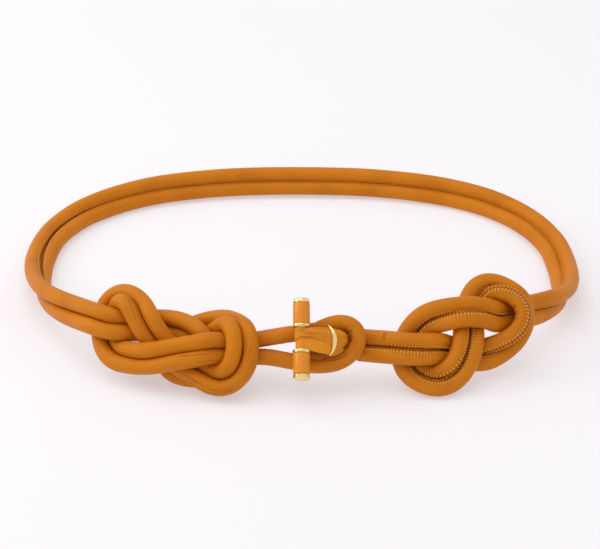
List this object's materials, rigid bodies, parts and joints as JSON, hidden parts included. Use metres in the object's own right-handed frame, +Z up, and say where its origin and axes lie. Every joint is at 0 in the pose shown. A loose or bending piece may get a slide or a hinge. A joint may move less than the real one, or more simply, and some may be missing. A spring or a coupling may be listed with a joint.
{
  "type": "waist belt",
  "caption": "Closed waist belt of one round padded faux leather cord, doubled and knotted on both sides of a metal toggle buttoned through the cord's end loop.",
  "frame": {"origin": "on the surface the belt rests on, below the middle of the whole closed belt", "axes": "+X to the right as seen from the front, +Y from the toggle towards the back of the waist, +Z up"},
  "size_m": [0.3286, 0.2564, 0.0526],
  "materials": {
    "cord_leather": "orange tan faux leather, softly shiny",
    "sleeve_leather": "orange tan faux leather, pulled smooth",
    "strap_leather": "orange tan faux leather, creased",
    "toggle_metal": "polished gold plated metal",
    "keeper_metal": "polished gold plated metal"
  },
  "bodies": {
    "root": {"leather_cord": "cord_leather", "toggle_bar": "toggle_metal", "upper_toggle_sleeve": "sleeve_leather", "lower_toggle_sleeve": "sleeve_leather", "toggle_strap": "strap_leather", "strap_keeper": "keeper_metal"}
  },
  "joints": []
}
